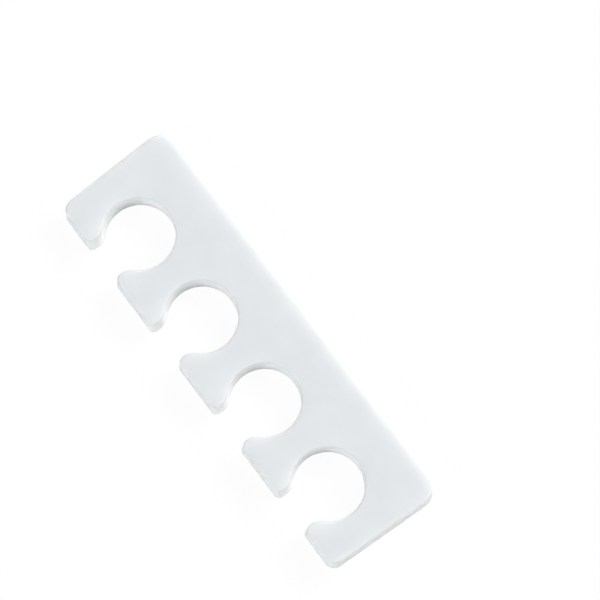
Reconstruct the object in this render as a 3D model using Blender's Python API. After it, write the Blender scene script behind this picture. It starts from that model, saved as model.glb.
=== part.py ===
"""Toe separator: one slab of white closed-cell foam, cut by a die into a comb of five soft posts.

The long back edge runs along X. Four keyhole slots, each the seat for one toe, open towards -Y,
and the posts between them hold the toes apart. The underside lies flat on Z = 0, and the origin
is under the middle of the slab. Lengths are in metres.
"""

import math

import bmesh
import bpy

# Driving dimensions, in plan, at the underside
SLOT_COUNT = 4
SLOT_DIAMETER = 0.01575
SLOT_MOUTH = 0.0088
POST_WAIST = 0.0070
END_POST_WAIST = 0.0080
SPINE_DEPTH = 0.0105
TIP_RADIUS = 0.0025
BACK_CORNER_RADIUS = 0.0037
FRONT_CORNER_RADIUS = 0.0023
END_LEAN = 0.0009

# Driving dimensions, in section
THICKNESS = 0.0080
LIP_HEIGHT = 0.0004
WALL_LEAN = 0.0003
ROLL_WIDTH = 0.0018
ROLL_DROP = 0.0010

# How finely the round stretches are faceted
SLOT_STEPS = 26
TIP_STEPS = 6
CORNER_STEPS = 5
ROLL_STEPS = 4

# Sizes that follow from the driving ones
SLOT_RADIUS = SLOT_DIAMETER / 2
SLOT_PITCH = SLOT_DIAMETER + POST_WAIST
LENGTH = SLOT_COUNT * SLOT_DIAMETER + (SLOT_COUNT - 1) * POST_WAIST + 2 * END_POST_WAIST
TIP_REACH = SLOT_MOUTH / 2 + TIP_RADIUS
SLOT_SETBACK = TIP_RADIUS + math.sqrt((SLOT_RADIUS + TIP_RADIUS) ** 2 - TIP_REACH**2)
WIDTH = SLOT_SETBACK + SLOT_RADIUS + SPINE_DEPTH
FRONT_Y = -WIDTH / 2
BACK_Y = WIDTH / 2
RIM_HEIGHT = THICKNESS - ROLL_DROP

# The foam
FOAM_COLOUR = (0.88, 0.89, 0.90, 1.0)
FOAM_ROUGHNESS = 0.85


def clear_scene():
    for obj in list(bpy.data.objects):
        bpy.data.objects.remove(obj, do_unlink=True)


def collection_named(name):
    collection = bpy.data.collections.new(name)
    bpy.context.scene.collection.children.link(collection)
    return collection


def arc(centre, radius, start, end, steps):
    """Points on a circle from one angle to another, both in radians, ends included."""
    angles = [start + (end - start) * step / steps for step in range(steps + 1)]
    return [(centre[0] + radius * math.cos(a), centre[1] + radius * math.sin(a)) for a in angles]


def rounded_corner(corner, before, after, radius):
    """The arc that rounds a corner of the slab, between the corners before and after it."""
    arriving = math.atan2(corner[1] - before[1], corner[0] - before[0])
    leaving = math.atan2(after[1] - corner[1], after[0] - corner[0])
    turn = (leaving - arriving) % (2 * math.pi)
    setback = radius * math.tan(turn / 2)
    centre = (
        corner[0] - setback * math.cos(arriving) - radius * math.sin(arriving),
        corner[1] - setback * math.sin(arriving) + radius * math.cos(arriving),
    )
    start = arriving - math.pi / 2
    return arc(centre, radius, start, start + turn, CORNER_STEPS)


def slot(centre_x):
    """One keyhole slot: the round seat for a toe, and the two round tips that narrow its mouth."""
    seat = (centre_x, FRONT_Y + SLOT_SETBACK)
    tip_y = FRONT_Y + TIP_RADIUS
    meeting = math.atan2(seat[1] - tip_y, TIP_REACH)
    left_tip = arc((centre_x - TIP_REACH, tip_y), TIP_RADIUS, -math.pi / 2, meeting, TIP_STEPS)
    round_seat = arc(seat, SLOT_RADIUS, math.pi + meeting, -meeting, SLOT_STEPS)
    right_tip = arc(
        (centre_x + TIP_REACH, tip_y), TIP_RADIUS, math.pi - meeting, 3 * math.pi / 2, TIP_STEPS
    )
    return left_tip + round_seat[1:-1] + right_tip


def comb_outline():
    """The cut line seen from above, counter-clockwise from the front left corner."""
    front_left = (-LENGTH / 2 + END_LEAN, FRONT_Y)
    front_right = (LENGTH / 2 - END_LEAN, FRONT_Y)
    back_right = (LENGTH / 2, BACK_Y)
    back_left = (-LENGTH / 2, BACK_Y)
    points = rounded_corner(front_left, back_left, front_right, FRONT_CORNER_RADIUS)
    for index in range(SLOT_COUNT):
        points += slot((index - (SLOT_COUNT - 1) / 2) * SLOT_PITCH)
    points += rounded_corner(front_right, front_left, back_right, FRONT_CORNER_RADIUS)
    points += rounded_corner(back_right, front_right, back_left, BACK_CORNER_RADIUS)
    points += rounded_corner(back_left, back_right, front_left, BACK_CORNER_RADIUS)
    return points


def outline_curve(name, points):
    """A filled flat curve as thick as the lip that the blade leaves round the underside."""
    curve = bpy.data.curves.new(name, "CURVE")
    curve.dimensions = "2D"
    curve.fill_mode = "BOTH"
    curve.extrude = LIP_HEIGHT / 2
    spline = curve.splines.new("POLY")
    spline.points.add(len(points) - 1)
    for point, (x, y) in zip(spline.points, points):
        point.co = (x, y, 0, 1)
    spline.use_cyclic_u = True
    obj = bpy.data.objects.new(name, curve)
    bpy.context.scene.collection.objects.link(obj)
    obj.location.z = LIP_HEIGHT / 2
    return obj


def mesh_object(name, source, collection):
    """The curve's solid as a mesh in world space, its loose caps welded to its sides."""
    bpy.context.view_layer.update()
    evaluated = source.evaluated_get(bpy.context.evaluated_depsgraph_get())
    mesh = bpy.data.meshes.new_from_object(evaluated)
    mesh.transform(source.matrix_world)
    bpy.data.objects.remove(source, do_unlink=True)
    bm = bmesh.new()
    bm.from_mesh(mesh)
    bmesh.ops.remove_doubles(bm, verts=bm.verts, dist=1e-6)
    bm.to_mesh(mesh)
    bm.free()
    mesh.name = name
    obj = bpy.data.objects.new(name, mesh)
    collection.objects.link(obj)
    return obj


def edge_section():
    """(inset, height) up the cut edge: a wall that leans in and hollows a little, then a soft roll."""
    roll_width = min(ROLL_WIDTH, 0.9 * (min(TIP_RADIUS, FRONT_CORNER_RADIUS) - WALL_LEAN))
    section = [(0, LIP_HEIGHT)]
    section.append((0.7 * WALL_LEAN, 0.4 * RIM_HEIGHT))
    section.append((WALL_LEAN, RIM_HEIGHT))
    for step in range(1, ROLL_STEPS + 1):
        angle = math.pi / 2 * step / ROLL_STEPS
        inset = WALL_LEAN + roll_width * (1 - math.cos(angle))
        section.append((inset, RIM_HEIGHT + ROLL_DROP * math.sin(angle)))
    return section


def one_cap(bm, height):
    """The triangles of a flat cap made one face. Some are slivers with no normal, so height finds them."""
    flat = [f for f in bm.faces if all(abs(v.co.z - height) < LIP_HEIGHT / 4 for v in f.verts)]
    return bmesh.ops.dissolve_faces(bm, faces=flat, use_verts=False)["region"]


def raise_slab(obj):
    """Grows the thin outline up to the full slab, one inset of its top face for each point up the edge."""
    bm = bmesh.new()
    bm.from_mesh(obj.data)
    top = one_cap(bm, LIP_HEIGHT)
    one_cap(bm, 0)
    section = edge_section()
    for (inset, height), (next_inset, next_height) in zip(section, section[1:]):
        bmesh.ops.inset_region(
            bm,
            faces=top,
            thickness=next_inset - inset,
            depth=next_height - height,
            use_even_offset=True,
        )
    bmesh.ops.recalc_face_normals(bm, faces=bm.faces)
    bm.to_mesh(obj.data)
    bm.free()


def foam_material():
    """White closed-cell foam: pale, matt and not a metal."""
    material = bpy.data.materials.new("white_foam")
    material.use_nodes = True
    shader = material.node_tree.nodes["Principled BSDF"]
    shader.inputs["Base Color"].default_value = FOAM_COLOUR
    shader.inputs["Roughness"].default_value = FOAM_ROUGHNESS
    shader.inputs["Metallic"].default_value = 0.0
    return material


def build():
    clear_scene()
    parts = collection_named("toe_separator_parts")
    curve = outline_curve("toe_separator_outline", comb_outline())
    slab = mesh_object("toe_separator", curve, parts)
    raise_slab(slab)
    slab.data.materials.clear()
    slab.data.materials.append(foam_material())
    slab.data.shade_smooth()
    slab.data.set_sharp_from_angle(angle=math.radians(40))


build()
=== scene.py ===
# %% [markdown]
# # A die-cut foam toe separator
#
# A toe separator is one slab of soft white foam. A steel rule, bent to the shape of a comb, is
# pressed through a sheet of closed-cell foam, and the comb falls out. Nothing is fastened to it
# afterwards, so everything that the eye sees comes from two things: the sheet's smooth skin, and
# the marks that the blade leaves where it went through.
#
# This lesson draws the cut line, raises the slab from it, lets its skin sink towards the cut, gives
# it two finishes, and lights it softly, so that white foam seen from above can still be told from a
# white table.

# %% Load the frame
import math

import bmesh
import bpy
from mathutils import Matrix, Vector, kdtree


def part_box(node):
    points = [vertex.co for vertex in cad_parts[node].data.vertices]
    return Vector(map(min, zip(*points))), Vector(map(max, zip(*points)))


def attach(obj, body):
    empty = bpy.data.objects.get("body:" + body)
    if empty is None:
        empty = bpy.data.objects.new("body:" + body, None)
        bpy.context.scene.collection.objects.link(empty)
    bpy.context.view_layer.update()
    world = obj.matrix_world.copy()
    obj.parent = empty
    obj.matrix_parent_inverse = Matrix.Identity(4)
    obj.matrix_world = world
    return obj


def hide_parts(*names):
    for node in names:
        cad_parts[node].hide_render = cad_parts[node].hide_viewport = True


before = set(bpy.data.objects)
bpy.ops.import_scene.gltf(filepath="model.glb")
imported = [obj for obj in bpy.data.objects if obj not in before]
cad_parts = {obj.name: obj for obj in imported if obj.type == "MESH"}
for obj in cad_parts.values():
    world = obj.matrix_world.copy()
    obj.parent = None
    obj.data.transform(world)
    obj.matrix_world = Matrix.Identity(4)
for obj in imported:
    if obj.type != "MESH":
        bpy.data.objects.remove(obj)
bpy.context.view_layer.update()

# %% [markdown]
# ## Sizes
#
# The slab's width and thickness are read from the frame. The rest are the die's own sizes, written
# in millimetres, because that is how a die maker would give them, and the length adds up from the
# slots and the posts between them. Blender works in metres, hence the factor.

# %% Read the slab's size and name the die's sizes
MM = 0.001
low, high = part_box("toe_separator")
THICKNESS = high.z - low.z

SLOT_COUNT = 4
SLOT_RADIUS = 15.75 * MM / 2
SLOT_MOUTH = 8.8 * MM
POST_WAIST = 7.0 * MM
END_POST_WAIST = 8.0 * MM
NECK_RADIUS = 2.5 * MM
TIP_RADIUS = 1.3 * MM
BACK_CORNER_RADIUS = 3.7 * MM
FRONT_CORNER_RADIUS = 2.3 * MM
END_LEAN = 0.9 * MM

SLOT_PITCH = 2 * SLOT_RADIUS + POST_WAIST
LENGTH = SLOT_COUNT * SLOT_PITCH - POST_WAIST + 2 * END_POST_WAIST
NECK_REACH = SLOT_MOUTH / 2 + NECK_RADIUS
SLOT_SETBACK = NECK_RADIUS + math.sqrt((SLOT_RADIUS + NECK_RADIUS) ** 2 - NECK_REACH**2)
print("slot centres are", round(SLOT_PITCH / MM, 2), "mm apart")

# %% [markdown]
# ## The pen
#
# The die's blade is straight runs and round bends, so the outline is drawn the way the blade is
# bent. A single vertex is the pen. `spin` sweeps it round a centre and leaves an arc of short edges
# behind, and `extrude_vert_indiv` pulls it along a straight run. Both return the new pen vertex.
# Short edges keep the round parts round from close by.

# %% Make the pen
EDGE_STEP = 0.3 * MM
FEWEST_BEND_STEPS = 4


def draw_bend(bm, pen, centre, angle):
    """Sweeps the pen round a centre, anticlockwise where the angle is positive."""
    arc_length = abs(angle) * (pen.co - centre).length
    steps = max(FEWEST_BEND_STEPS, round(arc_length / EDGE_STEP))
    swept = bmesh.ops.spin(
        bm, geom=[pen], cent=centre, axis=(0, 0, 1), angle=angle, steps=steps, use_duplicate=False
    )
    return next(item for item in swept["geom_last"] if isinstance(item, bmesh.types.BMVert))


def draw_run(bm, pen, end):
    """Pulls the pen along a straight line to a point."""
    start = pen.co.copy()
    steps = max(1, round((end - start).length / EDGE_STEP))
    for step in range(1, steps + 1):
        pen = bmesh.ops.extrude_vert_indiv(bm, verts=[pen])["verts"][0]
        pen.co = start.lerp(end, step / steps)
    return pen


def draw_corner(bm, pen, corner, after, radius):
    """Runs towards a corner, bends round it, and is then on its way to the next one."""
    arriving = (corner - pen.co).normalized()
    leaving = (after - corner).normalized()
    turn = arriving.angle(leaving)
    start = corner - arriving * radius * math.tan(turn / 2)
    left = Vector((-arriving.y, arriving.x, 0))
    pen = draw_run(bm, pen, start)
    return draw_bend(bm, pen, start + left * radius, turn)


# %% [markdown]
# ## The cut line
#
# A keyhole slot is a round seat for the toe, entered through a narrower neck between two blunt
# tips. The seat and the bends of the neck are circles that touch, so one angle settles where each
# hands over to the next: the blade turns left round a tip and the neck, right round the seat, and
# left again round the other side. The pen walks the comb anticlockwise, with foam always on its
# left, from the middle of the back edge and round to it again. Points that lie closer than a
# hundredth of a millimetre are merged, which closes the loop.

# %% Draw the cut line
SAME_POINT = 0.01 * MM


def draw_slot(bm, pen, centre_x):
    """One keyhole slot, from the front edge to the front edge."""
    left = centre_x - SLOT_MOUTH / 2
    right = centre_x + SLOT_MOUTH / 2
    seat = Vector((centre_x, low.y + SLOT_SETBACK, 0))
    left_neck = Vector((left - NECK_RADIUS, low.y + NECK_RADIUS, 0))
    right_neck = Vector((right + NECK_RADIUS, low.y + NECK_RADIUS, 0))
    meeting = math.atan2(seat.y - left_neck.y, NECK_REACH)
    pen = draw_run(bm, pen, Vector((left - TIP_RADIUS, low.y, 0)))
    pen = draw_bend(bm, pen, pen.co + Vector((0, TIP_RADIUS, 0)), math.pi / 2)
    pen = draw_run(bm, pen, left_neck + Vector((NECK_RADIUS, 0, 0)))
    pen = draw_bend(bm, pen, left_neck, meeting)
    pen = draw_bend(bm, pen, seat, -(math.pi + 2 * meeting))
    pen = draw_bend(bm, pen, right_neck, meeting)
    pen = draw_run(bm, pen, Vector((right, low.y + TIP_RADIUS, 0)))
    return draw_bend(bm, pen, pen.co + Vector((TIP_RADIUS, 0, 0)), math.pi / 2)


def draw_comb(bm):
    """The whole cut line as one closed loop of edges."""
    front_left = Vector((-LENGTH / 2 + END_LEAN, low.y, 0))
    front_right = Vector((LENGTH / 2 - END_LEAN, low.y, 0))
    back_right = Vector((LENGTH / 2, high.y, 0))
    back_left = Vector((-LENGTH / 2, high.y, 0))
    first = bm.verts.new((0, high.y, 0))
    pen = draw_corner(bm, first, back_left, front_left, BACK_CORNER_RADIUS)
    pen = draw_corner(bm, pen, front_left, front_right, FRONT_CORNER_RADIUS)
    for index in range(SLOT_COUNT):
        pen = draw_slot(bm, pen, (index - (SLOT_COUNT - 1) / 2) * SLOT_PITCH)
    pen = draw_corner(bm, pen, front_right, back_right, FRONT_CORNER_RADIUS)
    pen = draw_corner(bm, pen, back_right, back_left, BACK_CORNER_RADIUS)
    draw_run(bm, pen, first.co)
    bmesh.ops.remove_doubles(bm, verts=bm.verts, dist=SAME_POINT)


slab = bmesh.new()
draw_comb(slab)
cut_line = [vert.co.copy() for vert in slab.verts]
print("the cut line has", len(cut_line), "points")

# %% [markdown]
# ## The cut edge
#
# A blade squashes foam before it cuts it. When the foam springs back, the wall is a little hollow
# and leans in from a crisp lip at the bottom, and the skin stays pulled down towards the cut. Seen
# from the side, that is one curve, so it is written as one: a list of steps, each an inset and a
# rise. A power below 1 puts most of the wall's lean low down, which hollows it.
#
# The skin's drop has two parts. At the very edge it turns over in a small quarter of an oval, and
# from there it fades out slowly over a few millimetres, which makes the slab look soft.

# %% Describe the section of the cut edge
LIP_HEIGHT = 0.25 * MM
WALL_LEAN = 0.12 * MM
WALL_HOLLOW_POWER = 0.7
ROLL_WIDTH = 0.4 * MM
ROLL_DROP = 0.45 * MM
SINK_DEPTH = 0.35 * MM
SINK_FADE = 1.5 * MM
RING_WIDTH = 0.8 * MM
WALL_STEPS = 8
ROLL_STEPS = 12


def skin_height(distance):
    """Height of the top skin at a distance in from the rim of the wall."""
    inward = min(distance / ROLL_WIDTH, 1)
    roll = ROLL_DROP * (1 - math.sqrt(1 - (1 - inward) ** 2))
    sink = SINK_DEPTH * math.exp(-distance / SINK_FADE)
    return THICKNESS - roll - sink


def wall_inset(share):
    """How far the wall has leaned in at a share of its height: most of it low down."""
    return WALL_LEAN * math.sin(math.pi / 2 * share) ** WALL_HOLLOW_POWER


def edge_section():
    """(inset, height) from the sole up the wall and over the rolled edge."""
    rim_height = skin_height(0)
    section = [(0, 0), (0, LIP_HEIGHT)]
    for step in range(1, WALL_STEPS + 1):
        share = step / WALL_STEPS
        section.append((wall_inset(share), LIP_HEIGHT + (rim_height - LIP_HEIGHT) * share))
    for step in range(1, ROLL_STEPS + 1):
        distance = RING_WIDTH * (step / ROLL_STEPS) ** 2
        section.append((WALL_LEAN + distance, skin_height(distance)))
    return section


print("the edge has", len(edge_section()), "steps, and its rim is at",
      round(skin_height(0) / MM, 2), "mm")

# %% [markdown]
# ## Raise the slab
#
# `contextual_create` fills the closed loop with one face, the sole. Extruding it gives the lip, and
# from there each step of the section is one `inset_region` of the top face: its thickness moves the
# outline in by the same amount everywhere, and its depth lifts it. The cut wall above the lip gets
# the second material slot. The skin, the lip and the sole keep the first.
#
# Slender tips give way under the blade more than broad stretches do, so they lean in further. Their
# share is found with a second cut line, which `smooth_vert` relaxes for some rounds: sharp bends
# shrink much, wide ones little and straight runs not at all. Only pulls into the foam count, and
# those are to the left of the pen. Each step up the wall then moves its ring by a part of the way
# between the two lines.

# %% Fill the cut line and raise the slab
SKIN_SLOT = 0
CUT_SLOT = 1
PULL_ROUNDS = 24
HALFWAY = 0.5

relaxed = bmesh.new()
draw_comb(relaxed)
for _ in range(PULL_ROUNDS):
    bmesh.ops.smooth_vert(
        relaxed, verts=relaxed.verts[:], factor=HALFWAY, use_axis_x=True, use_axis_y=True
    )
pull = []
for index, vert in enumerate(relaxed.verts):
    ahead = cut_line[(index + 1) % len(cut_line)] - cut_line[index - 1]
    left = Vector((-ahead.y, ahead.x, 0)).normalized()
    pull.append(left * max(0, (vert.co - cut_line[index]).dot(left)))
relaxed.free()
print("the tips lean in by up to", round(max(p.length for p in pull) / MM, 2), "mm more")


def lookup(points):
    """A tree that finds the nearest of some points quickly."""
    tree = kdtree.KDTree(len(points))
    for index, point in enumerate(points):
        tree.insert(point, index)
    tree.balance()
    return tree


def flat(point):
    """The place of a point in plan."""
    return Vector((point.x, point.y, 0))


nearest_cut = lookup(cut_line)

bmesh.ops.contextual_create(slab, geom=slab.edges[:])
sole = slab.faces[:][0]
if sole.normal.z > 0:
    sole.normal_flip()
raised = bmesh.ops.extrude_face_region(slab, geom=[sole], use_keep_orig=True)
lip_verts = [item for item in raised["geom"] if isinstance(item, bmesh.types.BMVert)]
top = next(item for item in raised["geom"] if isinstance(item, bmesh.types.BMFace))
bmesh.ops.translate(slab, verts=lip_verts, vec=(0, 0, LIP_HEIGHT))
bmesh.ops.recalc_face_normals(slab, faces=slab.faces[:])

section = edge_section()[1:]
rim_height = skin_height(0)
rim_line = []
for (inset, height), (next_inset, next_height) in zip(section, section[1:]):
    on_wall = next_height <= rim_height
    made = bmesh.ops.inset_region(
        slab,
        faces=[top],
        thickness=next_inset - inset,
        depth=next_height - height,
        use_even_offset=True,
    )
    for face in made["faces"]:
        face.material_index = CUT_SLOT if on_wall else SKIN_SLOT
    if on_wall:
        for vert in top.verts:
            vert.co += pull[nearest_cut.find(flat(vert.co))[1]] / WALL_STEPS
        rim_line = [flat(vert.co) for vert in top.verts]
print("the raised slab has", len(slab.faces), "faces")

# %% [markdown]
# ## Let the skin sink
#
# The top is still one huge flat face inside the last ring. `bisect_plane` slices it into a net, once
# along each axis, and then every crossing is lowered by how near it is to the rim. A k-d tree finds
# the nearest point of the rim quickly. In the middle of a post two edges are equally near, and
# the rule would leave a faint crease there, so a few rounds of `smooth_vert`, up and down only, let
# the skin relax as real foam does.

# %% Slice the top and let it sink
NET_STEP = 0.5 * MM
LEVEL_SLACK = 0.001 * MM
RELAX_ROUNDS = 8


def top_net(bm):
    """The faces inside the last ring, all at one height until they sink."""
    level = section[-1][1] - LEVEL_SLACK
    return [face for face in bm.faces if all(vert.co.z > level for vert in face.verts)]


def slice_top(bm, axis, start, end):
    """Cuts the flat top with evenly spaced planes across one axis."""
    normal = Vector((0, 0, 0))
    normal[axis] = 1
    for index in range(1, math.ceil((end - start) / NET_STEP)):
        net = top_net(bm)
        edges = {edge for face in net for edge in face.edges}
        verts = {vert for face in net for vert in face.verts}
        bmesh.ops.bisect_plane(
            bm,
            geom=net + list(edges) + list(verts),
            dist=SAME_POINT,
            plane_co=normal * (start + index * NET_STEP),
            plane_no=normal,
        )


slice_top(slab, 0, low.x, high.x)
slice_top(slab, 1, low.y, high.y)

nearest_rim = lookup(rim_line)
net_faces = set(top_net(slab))
ring_verts = {vert for face in slab.faces if face not in net_faces for vert in face.verts}
net_verts = list({vert for face in net_faces for vert in face.verts} - ring_verts)
for vert in net_verts:
    vert.co.z = skin_height(nearest_rim.find(flat(vert.co))[2])
for _ in range(RELAX_ROUNDS):
    bmesh.ops.smooth_vert(slab, verts=net_verts, factor=HALFWAY, use_axis_z=True)
print("the net over the top has", len(net_verts), "crossings")

# %% [markdown]
# ## Turn the mesh into a piece
#
# The finished mesh becomes an object at the origin, unturned and unscaled, because its place is in
# its points. Smooth shading would blur the crisp lip round the sole, so edges that turn by more than
# 40 degrees stay sharp.

# %% Make the piece
SHARP_ANGLE = math.radians(40)


def place_mesh(name, bm):
    """Turns a finished bmesh into an object of the scene."""
    mesh = bpy.data.meshes.new(name)
    bm.to_mesh(mesh)
    bm.free()
    obj = bpy.data.objects.new(name, mesh)
    bpy.context.scene.collection.objects.link(obj)
    return obj


bmesh.ops.recalc_face_normals(slab, faces=slab.faces[:])
foam = place_mesh("foam_slab", slab)
foam.data.shade_smooth()
foam.data.set_sharp_from_angle(angle=SHARP_ANGLE)
print("the foam has", len(foam.data.polygons), "faces")

# %% [markdown]
# ## Colours and nodes
#
# Colours are given as sRGB hex values, but shaders work in linear light, so one function
# turns the one into the other. Another adds a node, sets its properties, and gives each input a
# value or a link, which keeps the node trees below readable.

# %% Make the two helpers
def linear(hex_colour):
    """A colour written as RRGGBB in sRGB, as linear RGBA."""
    channels = [int(hex_colour[i : i + 2], 16) / 255 for i in (0, 2, 4)]
    return [c / 12.92 if c <= 0.04045 else ((c + 0.055) / 1.055) ** 2.4 for c in channels] + [1.0]


def add_node(tree, kind, inputs, **settings):
    """Adds a node of a kind to the tree, with its settings, and its inputs set or linked."""
    made = tree.nodes.new(kind)
    for name, value in settings.items():
        setattr(made, name, value)
    for name, value in inputs.items():
        if isinstance(value, bpy.types.NodeSocket):
            tree.links.new(value, made.inputs[name])
        else:
            made.inputs[name].default_value = value
    return made


# %% [markdown]
# ## The sheet's skin
#
# The foam is EVA, ethylene-vinyl acetate, blown full of closed cells. Light goes in, scatters from
# cell wall to cell wall, and comes out a few millimetres off: that is subsurface scattering. Where a
# wall faces the lamp, the light that enters through the wall leaves through the top again, and the
# skin glows along that edge. The skin of the sheet is smooth, with only a fine pebble where cells
# press against it from below, two cells wide, and its white drifts a little every six millimetres.
# It has a faint sheen, no shine.

# %% Finish the skin
CELL = 0.35 * MM
MOTTLE = 6 * MM
BUMP_DEPTH = 0.1 * MM
SKIN_GLOW = 2.5 * MM
EVA_IOR = 1.48


def foam_shader(material, colour, roughness, glow_reach, bump_height, bump_strength):
    """The shader that both finishes share: scattering white foam over a bumpy height."""
    tree = material.node_tree
    shader = tree.nodes["Principled BSDF"]
    tree.links.new(colour, shader.inputs["Base Color"])
    shader.inputs["Roughness"].default_value = roughness
    shader.inputs["IOR"].default_value = EVA_IOR
    shader.inputs["Subsurface Weight"].default_value = 1.0
    shader.inputs["Subsurface Radius"].default_value = (1.0, 1.0, 1.0)
    shader.inputs["Subsurface Scale"].default_value = glow_reach
    bump = add_node(
        tree,
        "ShaderNodeBump",
        {"Height": bump_height, "Strength": bump_strength, "Distance": BUMP_DEPTH},
    )
    tree.links.new(bump.outputs["Normal"], shader.inputs["Normal"])


def eva_sheet_skin():
    """EVA foam sheet, the moulded skin: even, matt and slightly cool white with a fine pebble."""
    material = bpy.data.materials.new("eva_foam_sheet_skin")
    material.use_nodes = True
    tree = material.node_tree
    place = add_node(tree, "ShaderNodeTexCoord", {})
    mottle = add_node(
        tree,
        "ShaderNodeTexNoise",
        {"Vector": place.outputs["Object"], "Scale": 1 / MOTTLE, "Detail": 2.0},
    )
    colour = add_node(tree, "ShaderNodeValToRGB", {"Fac": mottle.outputs["Fac"]})
    darker, lighter = colour.color_ramp.elements
    darker.position = 0.3
    darker.color = linear("E0E3E6")
    lighter.position = 0.7
    lighter.color = linear("E3E6E8")
    pebble = add_node(
        tree,
        "ShaderNodeTexNoise",
        {"Vector": place.outputs["Object"], "Scale": 1 / (2 * CELL), "Detail": 3.0},
    )
    foam_shader(
        material,
        colour.outputs["Color"],
        roughness=0.6,
        glow_reach=SKIN_GLOW,
        bump_height=pebble.outputs["Fac"],
        bump_strength=0.15,
    )
    return material


# %% [markdown]
# ## The cut wall
#
# The blade opens the cells that lie in its way, so the wall is a field of tiny cups about a third of
# a millimetre across. A Voronoi texture gives one cell for each feature point, and its distance,
# used as a height, makes each a shallow cup with a raised rim. Open cups scatter light every way,
# so the wall is rougher than the skin. The same distance paints each cup's floor a little darker
# than its rim, which is painted shade. The wall's white is written lighter than the skin's, which
# is painted light: it stands in for the light that bounces up onto the walls, so that they render
# as light as real cut walls look. Its glow has a shorter reach too, because with the skin's reach
# the foot of the wall loses light into the sole and renders dark.

# %% Finish the cut wall
WALL_GLOW = 0.8 * MM


def eva_cut_wall():
    """EVA foam, die-cut: rougher than the skin with its opened cells; its lighter white is painted
    bounce light, its darker cup floors painted shade.
    """
    material = bpy.data.materials.new("eva_foam_die_cut")
    material.use_nodes = True
    tree = material.node_tree
    place = add_node(tree, "ShaderNodeTexCoord", {})
    cells = add_node(
        tree,
        "ShaderNodeTexVoronoi",
        {"Vector": place.outputs["Object"], "Scale": 1 / CELL},
    )
    colour = add_node(tree, "ShaderNodeValToRGB", {"Fac": cells.outputs["Distance"]})
    # Cup floors are painted darker than cup rims, which is painted shade, and both whites are written
    # lighter than the skin's, which is painted bounce light.
    shaded_cup_floor, rim = colour.color_ramp.elements
    shaded_cup_floor.color = linear("F5F7F9")
    rim.color = linear("FAFCFE")
    foam_shader(
        material,
        colour.outputs["Color"],
        roughness=0.8,
        glow_reach=WALL_GLOW,
        bump_height=cells.outputs["Distance"],
        bump_strength=0.2,
    )
    return material


foam.data.materials.append(eva_sheet_skin())
foam.data.materials.append(eva_cut_wall())
print("finishes:", [material.name for material in foam.data.materials])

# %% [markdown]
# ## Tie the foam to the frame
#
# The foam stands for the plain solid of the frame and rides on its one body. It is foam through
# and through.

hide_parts("toe_separator")
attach(foam, "root")

# %% [markdown]
# ## The camera
#
# The picture is taken from well above with a long lens, so that the slab shows its true outline. The
# camera is first hung straight over the table, looking down, then swung about ten degrees off the
# vertical, which lets it see the slots' far walls. The slab stays where it is, so the table's turn is
# given to the camera as well.

# %% Set the camera
LENS_MM = 198.8
SENSOR_MM = 36.0
NEAR_CLIP = 10 * MM
DISTANCE = 723.0 * MM
TABLE_TURN = math.radians(-53.05)
TILT_BACK = math.radians(9.8)
TILT_SIDE = math.radians(0.4)
ASIDE_X = -11.14 * MM
ASIDE_Y = -11.54 * MM

camera_data = bpy.data.cameras.new("camera")
camera_data.lens = LENS_MM
camera_data.sensor_width = SENSOR_MM
camera_data.clip_start = NEAR_CLIP
camera = bpy.data.objects.new("camera", camera_data)
bpy.context.scene.collection.objects.link(camera)
bpy.context.scene.camera = camera
table_turn = Matrix.Rotation(TABLE_TURN, 4, "Z")
tilt = Matrix.Rotation(-TILT_SIDE, 4, "Y") @ Matrix.Rotation(-TILT_BACK, 4, "X")
aside = Matrix.Translation((ASIDE_X, ASIDE_Y, 0))
hang = Matrix.Translation((0, 0, DISTANCE))
camera.matrix_world = (tilt @ aside @ table_turn).inverted() @ hang
print("the camera is at", [round(c / MM, 1) for c in camera.matrix_world.translation], "mm")

# %% [markdown]
# ## The table
#
# The table is white, and the picture's background is pure white. What the camera sees of the table
# is 95 parts of a plain glow of strength 1 and 5 parts of a white surface that takes the light, so
# that the slab still darkens it a little where it lies. The rays that light other things see a very
# light grey table, which throws soft light up at the walls. A mirror or a glass would have to show
# the same white as the camera sees, so a Light Path node counts those rays with the camera's.

# %% Build the table
TABLE_SIZE = 3.0
TABLE_GAP = 0.02 * MM
GLOW_SHARE = 0.95
WHITE = (1, 1, 1, 1)


def picture_rays(tree):
    """A socket that is 1 for the rays that make up the picture and 0 for those that only light."""
    rays = add_node(tree, "ShaderNodeLightPath", {})
    seen = rays.outputs["Is Camera Ray"]
    for kind in ("Is Glossy Ray", "Is Transmission Ray"):
        both = add_node(
            tree,
            "ShaderNodeMath",
            {0: seen, 1: rays.outputs[kind]},
            operation="ADD",
            use_clamp=True,
        )
        seen = both.outputs["Value"]
    return seen


def white_table():
    """Matt white laminate that shows the camera a white background and keeps a faint shadow."""
    material = bpy.data.materials.new("white_laminate")
    material.use_nodes = True
    tree = material.node_tree
    tree.nodes.clear()
    lit = add_node(tree, "ShaderNodeBsdfDiffuse", {"Color": linear("F6F6F6")})
    white = add_node(tree, "ShaderNodeBsdfDiffuse", {"Color": WHITE})
    glow = add_node(tree, "ShaderNodeEmission", {"Color": WHITE, "Strength": 1.0})
    shown = add_node(
        tree,
        "ShaderNodeMixShader",
        {"Fac": GLOW_SHARE, 1: white.outputs["BSDF"], 2: glow.outputs["Emission"]},
    )
    surface = add_node(
        tree,
        "ShaderNodeMixShader",
        {"Fac": picture_rays(tree), 1: lit.outputs["BSDF"], 2: shown.outputs["Shader"]},
    )
    add_node(tree, "ShaderNodeOutputMaterial", {"Surface": surface.outputs["Shader"]})
    return material


table_bm = bmesh.new()
bmesh.ops.create_grid(table_bm, x_segments=1, y_segments=1, size=TABLE_SIZE / 2)
bmesh.ops.translate(table_bm, verts=table_bm.verts, vec=(0, 0, low.z - TABLE_GAP))
table = place_mesh("table", table_bm)
table.data.materials.append(white_table())

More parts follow.
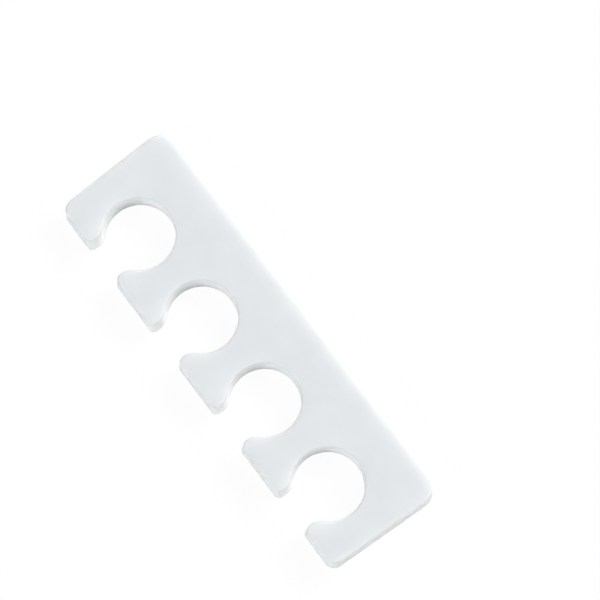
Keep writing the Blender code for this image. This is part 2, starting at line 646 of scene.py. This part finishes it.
# %% [markdown]
# ## The soft boxes
#
# Six soft boxes of one size stand round the slab, all equally far off. Three stand behind the back
# edge: the key at 45 degrees up, and a lower one at each side of it. They are faintly warm. They
# light every wall that faces them, and the foam carries that light over its rims as a glow. Three
# fills stand in front, 25 to 30 degrees up and faintly cool, and light the walls that the camera
# sees inside the slots. Of the two at the sides, the one on the camera's side is the stronger. The
# room adds a little from everywhere, and the picture shows it as white.

# %% Hang the soft boxes and light the room
LAMP_DISTANCE = 1.8
LAMP_SIZE = 0.8
KEY_TINT = "FEFDFB"
FILL_TINT = "FAFDFF"
ROOM_LIGHT = 0.05
ROOM_SHOWN = 1.0

# Each row is a name, an azimuth, an elevation, a power in watts and a colour. The azimuth is
# measured from +X towards +Y, and both angles are in degrees.
SOFT_BOXES = [
    ("key_soft_box", 90, 45, 19.2, KEY_TINT),
    ("key_right_soft_box", 55, 30, 9.4, KEY_TINT),
    ("key_left_soft_box", 125, 30, 9.4, KEY_TINT),
    ("fill_soft_box", -90, 30, 13.8, FILL_TINT),
    ("fill_right_soft_box", -35, 25, 6.0, FILL_TINT),
    ("fill_left_soft_box", -145, 25, 2.7, FILL_TINT),
]


def soft_box(name, azimuth, elevation, power, colour):
    """Hangs a square area lamp that is aimed at the slab."""
    lamp = bpy.data.lights.new(name, "AREA")
    lamp.shape = "SQUARE"
    lamp.size = LAMP_SIZE
    lamp.energy = power
    lamp.color = linear(colour)[:3]
    turn = math.radians(azimuth)
    lift = math.radians(elevation)
    obj = bpy.data.objects.new(name, lamp)
    direction = Vector(
        (math.cos(turn) * math.cos(lift), math.sin(turn) * math.cos(lift), math.sin(lift))
    )
    obj.location = direction * LAMP_DISTANCE
    obj.rotation_euler = direction.to_track_quat("Z", "Y").to_euler()
    bpy.context.scene.collection.objects.link(obj)


for row in SOFT_BOXES:
    soft_box(*row)

world = bpy.data.worlds.new("studio")
bpy.context.scene.world = world
world.use_nodes = True
room = world.node_tree
strength = add_node(
    room,
    "ShaderNodeMapRange",
    {"Value": picture_rays(room), "To Min": ROOM_LIGHT, "To Max": ROOM_SHOWN},
)
backdrop = room.nodes["Background"]
backdrop.inputs["Color"].default_value = WHITE
room.links.new(strength.outputs["Result"], backdrop.inputs["Strength"])

# %% [markdown]
# ## Finish
#
# The view transform is Standard, so that a colour renders as it is written. The size of the finished
# foam is set beside the frame's, which it must not leave.

# %% Finish
bpy.context.scene.view_settings.view_transform = "Standard"
